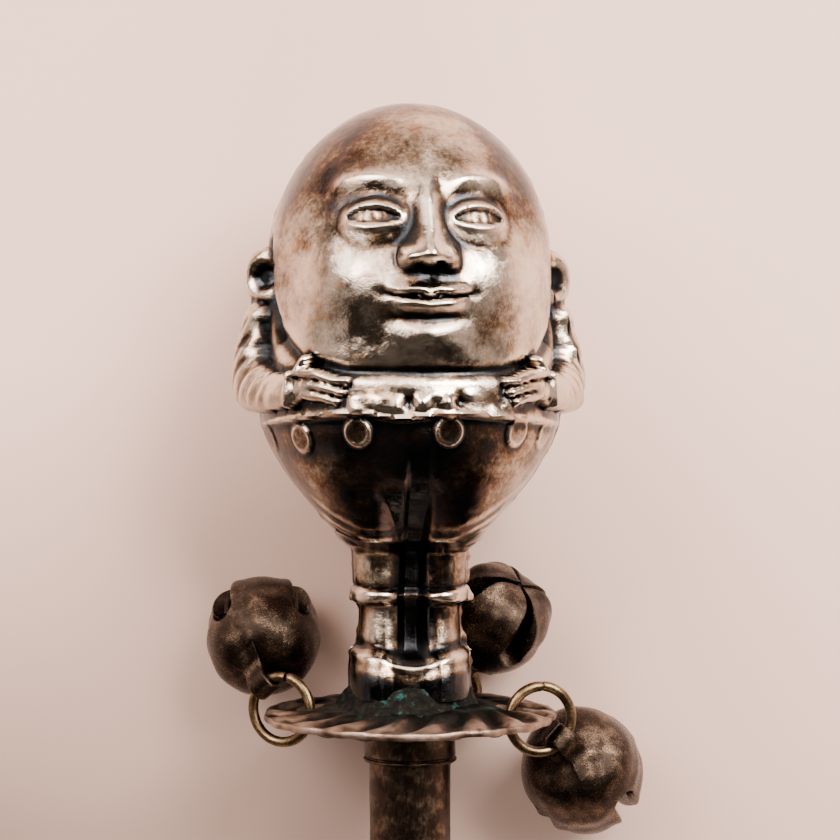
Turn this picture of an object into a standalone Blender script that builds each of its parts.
"""Silver figural baby rattle with a whistle handle and three jingle bells.

Everything is modelled upright in millimetres (multiplied by MM) around the handle's axis:
x towards the figure's own left hand, +y towards its back, +z towards its head, and z = 0 at the rim of
the flange.  One empty then lays the whole rattle on its back.
"""

import math

import bmesh
import bpy
import numpy as np
from mathutils import Matrix, Vector

MM = 0.001

# Fit and sheet metal
GAP = 0.3              # clearance between pieces that touch on the real object
WALL = 0.7             # stamped silver sheet of the figure

# Figure, heights above the flange rim
HEAD_TOP = 61.1
LIP_Z = 30.0           # rolled lip at the waist
SHOE_BOTTOM = 2.25
FACE_TURN = 7.0        # degrees that the head is turned from the legs
BACK_REACH = 17.2      # how far the back of the body stands out from the axis
BACK_REACH_Z = 35.5
STEPS_AROUND = 20      # facets around each half shell

# Flange
RIM_RADIUS = 14.5
RIM_THICKNESS = 0.8
DOME_RISE = 1.9
HOLE_CIRCLE = 10.0
HOLE_RADIUS = 1.25

# Handle
FERRULE_RADIUS = 4.55
FERRULE_TOP = -0.7
FERRULE_BOTTOM = -4.4
TUBE_RADIUS = 4.05
TUBE_WALL = 0.45
TUBE_TOP = -1.7
TUBE_END = -48.0
WINDOW_Z = -37.5       # whistle window, on the front of the tube
WINDOW_HEIGHT = 3.0
WINDOW_WIDTH = 4.2
MOUTH_RING_HEIGHT = 1.8
MOUTH_RING_PROUD = 0.75

# Jump rings and bells
RING_RADIUS = 3.3
WIRE_RADIUS = 0.5
RING_OPENING = 5.0     # degrees left open at the butt joint
LOOP_WIDTH = 2.3
LOOP_THICKNESS = 0.5
LOOP_INNER = 0.95
CROWN_GAP = 1.25       # from the ring's wire to the bell's crown
BELL_WALL = 0.5
SLOT_WIDTH = 1.1
SLOT_END_RADIUS = 1.05
SLOT_END_RISE = 0.35   # the slots end a little above the bell's equator
BELL_PELLET_RADIUS = 1.5
HEAD_PELLET_RADIUS = 1.6

# name, hole azimuth, ring yaw, ring lift, bell's place round the ring, bell swing, bell radius
BELLS = [
    ("left", 178.0, -24.0, 0.0, 52.0, -45.0, 6.1),
    ("right", -2.0, 18.0, -14.0, -44.0, 43.0, 6.5),
    ("back", 80.0, -45.0, 0.0, 75.0, -40.0, 5.7),
]

# Where the loose pellets lie on the inside of the back shell: across, up
HEAD_PELLETS = [(0.0, 35.0), (-3.9, 37.4), (3.9, 36.4), (-0.6, 39.2), (1.6, 31.4)]

SILVER = ((0.62, 0.56, 0.52), 0.24)
DULL_SILVER = ((0.45, 0.38, 0.34), 0.34)
DARK_BRONZE = ((0.13, 0.09, 0.065), 0.38)
GOLD_BRONZE = ((0.36, 0.26, 0.14), 0.30)
BRASS = ((0.30, 0.22, 0.12), 0.40)
STEEL = ((0.42, 0.42, 0.42), 0.35)

LEAN = math.atan((BACK_REACH - RIM_RADIUS) / BACK_REACH_Z)
LIE_HEIGHT = RIM_RADIUS * math.cos(LEAN) + RIM_THICKNESS / 2 * math.sin(LEAN)
MIDDLE_X = -1.42       # moves the laid-down rattle's box to the middle of its frame
MIDDLE_Y = -6.32


# ---------------------------------------------------------------- scene helpers

def clear_scene():
    for obj in list(bpy.data.objects):
        bpy.data.objects.remove(obj, do_unlink=True)


def new_collection(name):
    collection = bpy.data.collections.new(name)
    bpy.context.scene.collection.children.link(collection)
    return collection


def metal(name, look):
    colour, roughness = look
    material = bpy.data.materials.new(name)
    material.use_nodes = True
    shader = material.node_tree.nodes["Principled BSDF"]
    shader.inputs["Base Color"].default_value = (*colour, 1.0)
    shader.inputs["Roughness"].default_value = roughness
    shader.inputs["Metallic"].default_value = 1.0
    return material


def add_part(name, data, look, parent, matrix=None):
    """Make one named node with its own material."""
    obj = bpy.data.objects.new(name, data)
    PARTS.objects.link(obj)
    data.materials.append(metal(name + "_metal", look))
    obj.parent = parent
    obj.matrix_local = matrix or Matrix.Identity(4)
    return obj


def add_empty(name, parent, matrix):
    empty = bpy.data.objects.new(name, None)
    empty.empty_display_size = 0.004
    PARTS.objects.link(empty)
    empty.parent = parent
    empty.matrix_local = matrix
    return empty


def add_cutter(name, mesh, parent, matrix=None):
    cutter = bpy.data.objects.new(name, mesh)
    CUTTERS.objects.link(cutter)
    cutter.parent = parent
    cutter.matrix_local = matrix or Matrix.Identity(4)
    cutter.hide_render = True
    cutter.display_type = "WIRE"
    return cutter


def cut(target, cutter):
    boolean = target.modifiers.new("cut " + cutter.name, "BOOLEAN")
    boolean.operation = "DIFFERENCE"
    boolean.object = cutter


def smooth(mesh, angle=35.0):
    mesh.shade_smooth()
    mesh.set_sharp_from_angle(angle=math.radians(angle))


def mesh_from(build, name):
    """Fill a new mesh with build(bm)."""
    bm = bmesh.new()
    build(bm)
    mesh = bpy.data.meshes.new(name)
    bm.to_mesh(mesh)
    bm.free()
    smooth(mesh)
    return mesh


def box_mesh(name, size):
    def build(bm):
        bmesh.ops.create_cube(bm, size=1.0)
        bmesh.ops.scale(bm, vec=Vector(size) * MM, verts=bm.verts)
    return mesh_from(build, name)


def rod_mesh(name, radius, length, segments=20):
    def build(bm):
        bmesh.ops.create_cone(bm, cap_ends=True, segments=segments, radius1=radius * MM,
                              radius2=radius * MM, depth=length * MM)
    return mesh_from(build, name)


def ball_mesh(name, radius, around, rings):
    def build(bm):
        bmesh.ops.create_uvsphere(bm, u_segments=around, v_segments=rings, radius=radius * MM)
    return mesh_from(build, name)


def outline_mesh(name, points):
    """An open or closed outline of (radius, height) points in the XZ plane, for a Screw modifier."""
    closed = points[0] == points[-1]
    corners = points[:-1] if closed else points
    mesh = bpy.data.meshes.new(name)
    edges = [(i, i + 1) for i in range(len(corners) - 1)]
    if closed:
        edges.append((len(corners) - 1, 0))
    mesh.from_pydata([(r * MM, 0.0, z * MM) for r, z in corners], edges, [])
    return mesh


def turn(obj, degrees, steps):
    screw = obj.modifiers.new("turn", "SCREW")
    screw.angle = math.radians(degrees)
    screw.steps = steps
    screw.render_steps = steps
    screw.use_merge_vertices = True
    screw.merge_threshold = 0.00001
    screw.use_smooth_shade = True
    return screw


def turned_part(name, points, look, parent, steps=40):
    obj = add_part(name, outline_mesh(name, points), look, parent)
    turn(obj, 360.0, steps)
    return obj


# ---------------------------------------------------------------- figure

# Height, half width across, reach to the front and reach to the back of the egg-shaped body.
BODY = [
    (HEAD_TOP, 0.0, 0.0, 0.0), (60.5, 4.2, 4.4, 4.4), (59.0, 7.3, 7.8, 7.8), (56.5, 10.2, 11.0, 11.0),
    (53.0, 12.5, 13.4, 13.4), (49.0, 13.7, 14.6, 14.8), (45.0, 14.1, 15.0, 15.6), (41.0, 14.2, 15.2, 16.4),
    (38.0, 14.4, 15.2, 17.0), (BACK_REACH_Z, 14.6, 15.3, BACK_REACH - GAP / 2),
    (32.5, 14.8, 15.2, 16.8), (30.0, 14.8, 15.0, 15.8),
    (28.0, 14.6, 14.6, 15.0), (25.0, 13.0, 13.0, 13.4), (22.5, 11.1, 11.3, 11.6), (20.0, 8.8, 9.2, 9.4),
    (18.4, 7.0, 7.2, 7.4), (17.5, 6.7, 6.4, 6.6), (16.8, 6.3, 5.6, 5.8), (16.2, 5.6, 4.7, 4.8),
    (14.6, 5.5, 4.5, 4.6), (13.0, 5.6, 4.6, 4.7), (12.0, 6.0, 5.0, 5.0), (11.0, 5.4, 4.4, 4.5),
    (9.0, 5.1, 4.1, 4.2), (7.0, 5.2, 4.3, 4.2), (5.8, 5.8, 5.2, 4.6), (4.4, 6.1, 6.0, 4.8),
    (SHOE_BOTTOM, 6.0, 6.1, 4.8),
]


def bump(value, centre, width):
    """A smooth hill, 1 at its centre and 0 beyond its width."""
    t = abs(value - centre) / width
    return 0.0 if t >= 1.0 else math.cos(t * math.pi / 2) ** 2


def around(azimuth, centre):
    """Degrees from one azimuth to another, -180 to 180."""
    return (azimuth - centre + 180.0) % 360.0 - 180.0


def relief(azimuth, z):
    """How far the stamped relief stands out from the egg at this azimuth and height."""
    height = 0.0
    face = -90.0 + FACE_TURN
    front = around(azimuth, -90.0)
    for side in (-1.0, 1.0):
        ear = around(azimuth, face + side * 92.0)
        height += 2.4 * bump(ear, 0.0, 11.0) * bump(z, 44.2, 4.2)
        arm = around(azimuth, -90.0 + side * 88.0)
        height += 2.7 * bump(arm, 0.0, 48.0) * bump(z, 34.2, 6.8)
        hand = around(azimuth, face + side * 41.0)
        height += 1.3 * bump(hand, 0.0, 22.0) * bump(z, 33.0, 3.0)
        cheek = around(azimuth, face + side * 33.0)
        height += 0.7 * bump(cheek, 0.0, 24.0) * bump(z, 40.5, 6.5)
        brow = around(azimuth, face + side * 26.0)
        height += 0.5 * bump(brow, 0.0, 24.0) * bump(z, 52.5, 3.5)
    nose = around(azimuth, face)
    height += 1.9 * bump(nose, 0.0, 11.0) * bump(z, 44.6, 4.0)
    height += 0.8 * bump(nose, 0.0, 22.0) * bump(z, 38.9, 2.6)
    height += 0.8 * bump(z, LIP_Z, 1.6)
    for centre in (-90.0, 90.0):
        groove = around(azimuth, centre)
        depth = 1.5 if z > 17.0 else 1.0
        height -= depth * bump(groove, 0.0, 14.0 if z > 17.0 else 24.0) * bump(z, 15.5, 12.0)
    height -= 0.3 * bump(front, 0.0, 60.0) * bump(z, 26.5, 2.0)
    return height


def body_section(z):
    """Half width, front reach and back reach of the plain body at a height."""
    heights = [row[0] for row in reversed(BODY)]
    return [float(np.interp(z, heights, [row[k] for row in reversed(BODY)])) for k in (1, 2, 3)]


def body_rows():
    """Heights of the shell's rows, with one between each pair of outline points from the waist up."""
    rows = []
    for upper, lower in zip(BODY, BODY[1:]):
        rows.append(upper[0])
        if 28.0 <= upper[0] < 56.0:
            rows.append((upper[0] + lower[0]) / 2)
    rows.append(BODY[-1][0])
    return rows


def half_shell(name, start_azimuth, look, parent):
    """Turn the body's outline half way round, press the relief into it and thicken it inwards."""
    outline = [(body_section(z)[0], z) for z in body_rows()]
    blank = bpy.data.objects.new(name + "_blank", outline_mesh(name + "_blank", outline))
    CUTTERS.objects.link(blank)
    turn(blank, 180.0, STEPS_AROUND)
    depsgraph = bpy.context.evaluated_depsgraph_get()
    mesh = bpy.data.meshes.new_from_object(blank.evaluated_get(depsgraph))
    bpy.data.objects.remove(blank, do_unlink=True)
    seam = GAP / 2 * (1 if start_azimuth == 0.0 else -1)
    for vertex in mesh.vertices:
        x, y, z = vertex.co / MM
        azimuth = math.atan2(max(y, 0.0), x) + math.radians(start_azimuth)
        across, front, back = body_section(z)
        if math.hypot(x, y) > 1e-6:
            deep = back if start_azimuth == 0.0 else front
            plain = 1.0 / math.hypot(math.cos(azimuth) / across, math.sin(azimuth) / deep)
            radius = plain + relief(math.degrees(azimuth), z) * min(1.0, across / 4.0)
            x, y = radius * math.cos(azimuth), radius * math.sin(azimuth)
        vertex.co = (x * MM, (y + seam) * MM, z * MM)
    mesh.name = name
    smooth(mesh, 50.0)
    shell = add_part(name, mesh, look, parent)
    thick = shell.modifiers.new("sheet", "SOLIDIFY")
    thick.thickness = WALL * MM
    thick.offset = -1.0
    return shell


def inner_back(x, z):
    """Where the inside of the back shell lies at this place, seen from the front."""
    across, _front, back = body_section(z)
    return (back - WALL) * math.sqrt(max(0.0, 1.0 - (x / (across - WALL)) ** 2))


# ---------------------------------------------------------------- handle

def make_flange(parent):
    """Shallow domed disc with a thin rim and three holes for the jump rings."""
    steps = 8
    top = []
    for i in range(steps + 1):
        r = RIM_RADIUS * i / steps
        top.append((r, RIM_THICKNESS / 2 + DOME_RISE * (math.cos(math.pi * r / RIM_RADIUS) + 1) / 2))
    under = [(r, z - RIM_THICKNESS) for r, z in reversed(top)]
    flange = turned_part("base_flange", top + under, DULL_SILVER, parent, steps=40)
    for name, azimuth, *_rest in BELLS:
        place = Matrix.Rotation(math.radians(azimuth), 4, "Z") @ Matrix.Translation((HOLE_CIRCLE * MM, 0, 0))
        cutter = add_cutter(name + "_hole", rod_mesh(name + "_hole", HOLE_RADIUS, 8.0), parent, place)
        cut(flange, cutter)
    return flange


def make_handle(parent):
    inner = TUBE_RADIUS - TUBE_WALL
    bore = TUBE_RADIUS + GAP / 2
    turned_part("ferrule_cap", [
        (0.0, FERRULE_TOP + DOME_RISE - 0.9), (2.6, FERRULE_TOP + DOME_RISE - 1.0), (4.3, FERRULE_TOP - 0.1),
        (FERRULE_RADIUS, FERRULE_TOP - 0.8), (FERRULE_RADIUS, FERRULE_BOTTOM + 0.5),
        (FERRULE_RADIUS + 0.1, FERRULE_BOTTOM), (bore, FERRULE_BOTTOM), (bore, TUBE_TOP + GAP),
        (0.0, TUBE_TOP + GAP),
    ], DARK_BRONZE, parent, steps=32)
    tube = turned_part("handle_tube", [
        (inner, TUBE_TOP), (TUBE_RADIUS, TUBE_TOP), (TUBE_RADIUS, TUBE_END), (inner, TUBE_END),
        (inner, TUBE_TOP),
    ], DARK_BRONZE, parent, steps=32)
    window = box_mesh("window", (WINDOW_WIDTH, 3.0, WINDOW_HEIGHT))
    place = Matrix.Translation(Vector((0.0, -TUBE_RADIUS, WINDOW_Z)) * MM)
    cut(tube, add_cutter("window", window, parent, place))

    block_top = WINDOW_Z - WINDOW_HEIGHT / 2
    block_length = block_top - TUBE_END - 0.4
    rod = rod_mesh("fipple_block", inner - GAP / 2, block_length, 32)
    place = Matrix.Translation(Vector((0.0, 0.0, block_top - block_length / 2)) * MM)
    block = add_part("fipple_block", rod, BRASS, parent, place)
    windway = box_mesh("windway", (2 * TUBE_RADIUS, 2.0, 2 * block_length))
    place = Matrix.Translation(Vector((0.0, 0.2 - inner, block_top)) * MM)
    cut(block, add_cutter("windway", windway, parent, place))

    ring_in = TUBE_RADIUS + GAP / 2
    ring_out = TUBE_RADIUS + MOUTH_RING_PROUD
    low = TUBE_END - 0.1
    high = low + MOUTH_RING_HEIGHT
    turned_part("mouth_ring", [
        (ring_in, high), (ring_in + 0.3, high), (ring_out, high - 0.5), (ring_out, low + 0.3),
        (ring_in + 0.45, low), (ring_in, low), (ring_in, high),
    ], BRASS, parent, steps=32)


# ---------------------------------------------------------------- rings and bells

def axes_matrix(origin, x_axis, y_axis, z_axis):
    rotation = Matrix((x_axis, y_axis, z_axis)).transposed().to_4x4()
    return Matrix.Translation(Vector(origin) * MM) @ rotation


def wire_ring(name, parent, matrix):
    """A jump ring bent from round wire; its origin is where it passes through the flange."""
    curve = bpy.data.curves.new(name, "CURVE")
    curve.dimensions = "3D"
    curve.bevel_depth = WIRE_RADIUS * MM
    curve.bevel_resolution = 2
    curve.use_fill_caps = True
    points = 25
    spline = curve.splines.new("POLY")
    spline.points.add(points - 1)
    for i, point in enumerate(spline.points):
        angle = math.radians(100.0 + RING_OPENING / 2 + (360.0 - RING_OPENING) * i / (points - 1))
        x = RING_RADIUS * (1 + math.cos(angle))
        point.co = (x * MM, 0.0, RING_RADIUS * math.sin(angle) * MM, 1.0)
    return add_part(name, curve, GOLD_BRONZE, parent, matrix)


def strap_loop(name, parent, bell_radius):
    """A flat strap bent over the ring's wire, with both feet on the bell's crown."""
    outer = LOOP_INNER + LOOP_THICKNESS
    centre = CROWN_GAP + bell_radius

    def foot(x):
        return -(centre - math.sqrt((bell_radius + 0.1) ** 2 - x * x)) + 0.05

    arc = [math.radians(a) for a in range(0, 181, 15)]
    outline = [(outer, foot(outer))] + [(outer * math.cos(a), outer * math.sin(a)) for a in arc]
    outline += [(-outer, foot(outer)), (-LOOP_INNER, foot(LOOP_INNER))]
    outline += [(-LOOP_INNER * math.cos(a), LOOP_INNER * math.sin(a)) for a in arc]
    outline.append((LOOP_INNER, foot(LOOP_INNER)))
    curve = bpy.data.curves.new(name, "CURVE")
    curve.dimensions = "2D"
    curve.fill_mode = "BOTH"
    curve.extrude = LOOP_WIDTH / 2 * MM
    spline = curve.splines.new("POLY")
    spline.points.add(len(outline) - 1)
    spline.use_cyclic_u = True
    for point, (x, z) in zip(spline.points, outline):
        point.co = (x * MM, z * MM, 0.0, 1.0)
    return add_part(name, curve, DARK_BRONZE, parent, Matrix.Rotation(math.pi / 2, 4, "X"))


def bell_shell(name, parent, radius):
    """A hollow ball whose mouth is split into four petals by a cross slot with round ends."""
    centre = -(radius + CROWN_GAP)
    place = Matrix.Translation((0.0, 0.0, centre * MM))
    shell = add_part(name, ball_mesh(name, radius, 20, 12), DARK_BRONZE, parent, place)
    thick = shell.modifiers.new("sheet", "SOLIDIFY")
    thick.thickness = BELL_WALL * MM
    thick.offset = -1.0
    for turn_angle in (0.0, 90.0):
        turn_matrix = Matrix.Rotation(math.radians(turn_angle), 4, "Z")
        label = f"{name}_slot_{turn_angle:.0f}"
        blade = box_mesh(label, (2.4 * radius, SLOT_WIDTH, 1.4 * radius))
        offset = Matrix.Translation((0.0, 0.0, (SLOT_END_RISE - 0.7 * radius) * MM))
        cut(shell, add_cutter(label, blade, parent, place @ turn_matrix @ offset))
        end = rod_mesh(label + "_end", SLOT_END_RADIUS, 2.4 * radius, 12)
        across = Matrix.Translation((0.0, 0.0, SLOT_END_RISE * MM)) @ Matrix.Rotation(math.pi / 2, 4, "Y")
        cut(shell, add_cutter(label + "_end", end, parent, place @ turn_matrix @ across))
    return shell


def make_bell(root, name, azimuth, yaw, lift, place, swing, radius):
    """One jump ring through its hole, and the bell that hangs on it."""
    up = Vector((0.0, 0.0, 1.0))
    heading = math.radians(azimuth + yaw)
    out = Vector((math.cos(heading), math.sin(heading), 0.0))
    side = up.cross(out)
    tilt = Matrix.Rotation(-math.radians(lift), 3, side)
    ring_x, ring_z = tilt @ out, tilt @ up
    hole = HOLE_CIRCLE * Vector((math.cos(math.radians(azimuth)), math.sin(math.radians(azimuth)), 0.0))
    hole.z = flange_middle(HOLE_CIRCLE)
    ring_matrix = axes_matrix(hole, ring_x, side, ring_z)
    ring = wire_ring(name + "_ring", root, ring_matrix)

    angle = math.radians(place)
    radial = math.cos(angle) * out + math.sin(angle) * up
    along = -math.sin(angle) * out + math.cos(angle) * up
    hook = hole + RING_RADIUS * ring_x + RING_RADIUS * radial
    hang = math.cos(math.radians(swing)) * radial + math.sin(math.radians(swing)) * side
    bell_matrix = axes_matrix(hook, along.cross(-hang), along, -hang)
    bell = add_empty(name + "_bell", ring, ring_matrix.inverted() @ bell_matrix)
    strap_loop(name + "_bell_loop", bell, radius)
    bell_shell(name + "_bell_body", bell, radius)

    down = Vector((0.0, math.cos(LEAN), -math.sin(LEAN)))
    centre = hook + (radius + CROWN_GAP) * hang
    rest = centre + (radius - BELL_WALL - BELL_PELLET_RADIUS - GAP) * down
    pellet = ball_mesh(name + "_bell_pellet", BELL_PELLET_RADIUS, 10, 7)
    matrix = Matrix.Translation(bell_matrix.inverted() @ (rest * MM))
    add_part(name + "_bell_pellet", pellet, STEEL, bell, matrix)


def flange_middle(radius):
    """Height of the flange's sheet, half way through it."""
    return DOME_RISE * (math.cos(math.pi * radius / RIM_RADIUS) + 1) / 2


# ---------------------------------------------------------------- assembly

def make_rattle():
    lie_down = Matrix.Rotation(-math.pi / 2 + LEAN, 4, "X")
    place = Matrix.Translation(Vector((MIDDLE_X, MIDDLE_Y, LIE_HEIGHT)) * MM)
    root = add_empty("rattle", None, place @ lie_down)
    half_shell("figure_front_shell", 180.0, SILVER, root)
    half_shell("figure_back_shell", 0.0, SILVER, root)
    for number, (x, z) in enumerate(HEAD_PELLETS, start=1):
        name = f"head_pellet_{number}"
        y = inner_back(x, z) - HEAD_PELLET_RADIUS - 2 * GAP
        mesh = ball_mesh(name, HEAD_PELLET_RADIUS, 10, 7)
        add_part(name, mesh, STEEL, root, Matrix.Translation(Vector((x, y, z)) * MM))
    make_flange(root)
    make_handle(root)
    for row in BELLS:
        make_bell(root, *row)


clear_scene()
PARTS = new_collection("baby_rattle")
CUTTERS = new_collection("cutters")
make_rattle()
